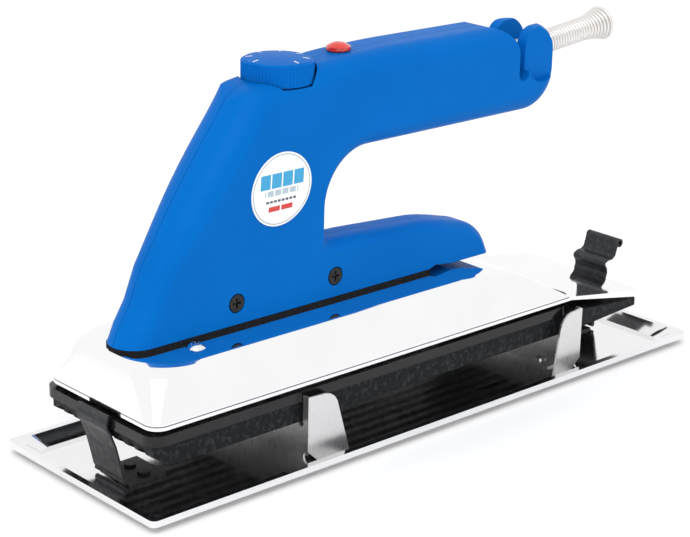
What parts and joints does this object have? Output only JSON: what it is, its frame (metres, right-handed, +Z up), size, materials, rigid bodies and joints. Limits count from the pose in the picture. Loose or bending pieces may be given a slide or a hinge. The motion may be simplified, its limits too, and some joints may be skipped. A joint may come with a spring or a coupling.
{
  "type": "carpet seaming iron",
  "caption": "Heated carpet seaming iron with a grooved sole, polished shield, raked handle, dial and spring cord guard, resting on brackets in a shallow clip-on tray.",
  "frame": {"origin": "centre of the underside of the tray", "axes": "+Z up, +X toward the cord end, +Y away from the side with the round label"},
  "size_m": [0.346, 0.108, 0.1766],
  "materials": {
    "tray_steel": "bright polished sheet",
    "bracket_steel": "satin sheet",
    "rivet_steel": "plain",
    "clip_steel": "black oxide spring steel",
    "sole_iron": "non-stick coated casting",
    "element_steel": "heat-tinted sheath",
    "base_enamel": "glossy black",
    "screw_steel": "plain",
    "mineral_board": "matt",
    "ceramic": "glazed",
    "shield_chrome": "mirror",
    "screw_chrome": "bright",
    "gasket_fibre": "pressed fibre",
    "handle_plastic": "satin moulded",
    "screw_black": "black oxide",
    "label_film": "printed film",
    "guard_steel": "bright coil",
    "block_plastic": "moulded",
    "screw_brass": "plain",
    "lens_red": "translucent",
    "lamp_glass": "clear",
    "knob_plastic": "satin moulded"
  },
  "bodies": {
    "tray": {"tray_pan": "tray_steel", "front_bracket": "bracket_steel", "rear_bracket": "bracket_steel", "bracket_rivets": "rivet_steel", "front_clip_foot": "clip_steel", "rear_clip_foot": "clip_steel", "clip_rivets": "clip_steel"},
    "front_clip": {"front_clip_spring": "clip_steel"},
    "rear_clip": {"rear_clip_spring": "clip_steel"},
    "iron": {"sole_plate": "sole_iron", "heating_element": "element_steel", "base_plate": "base_enamel", "base_screws": "screw_steel", "insulation_pad": "mineral_board", "thermostat_body": "ceramic", "shield_cover": "shield_chrome", "shield_screws": "screw_chrome", "foot_gasket": "gasket_fibre", "handle_near_half": "handle_plastic", "handle_far_half": "handle_plastic", "handle_screws": "screw_black", "handle_mount_bolts": "screw_steel", "side_label": "label_film", "cord_guard": "guard_steel", "cord_clamp": "block_plastic", "cord_clamp_block": "block_plastic", "terminal_block": "block_plastic", "terminal_screws": "screw_brass", "indicator_lens": "lens_red", "indicator_lamp": "lamp_glass", "lamp_bracket": "bracket_steel"},
    "dial": {"thermostat_knob": "knob_plastic", "thermostat_shaft": "screw_steel"}
  },
  "joints": [
    {"name": "iron_lift", "type": "slide", "parent": "tray", "child": "iron", "axis": [0, 0, 1], "range_m": [0, 0.12]},
    {"name": "dial_turn", "type": "hinge", "parent": "iron", "child": "dial", "pos_m": [-0.0625, 0, 0.168], "axis": [0, 0, 1], "range_deg": [-270, 0]},
    {"name": "front_clip_flex", "type": "hinge", "parent": "tray", "child": "front_clip", "pos_m": [-0.1549, 0, 0.0031], "axis": [0, -1, 0], "range_deg": [0, 20], "stiffness_Nm_per_rad": 0.6},
    {"name": "rear_clip_flex", "type": "hinge", "parent": "tray", "child": "rear_clip", "pos_m": [0.1489, 0, 0.0031], "axis": [0, 1, 0], "range_deg": [0, 20], "stiffness_Nm_per_rad": 0.6}
  ]
}
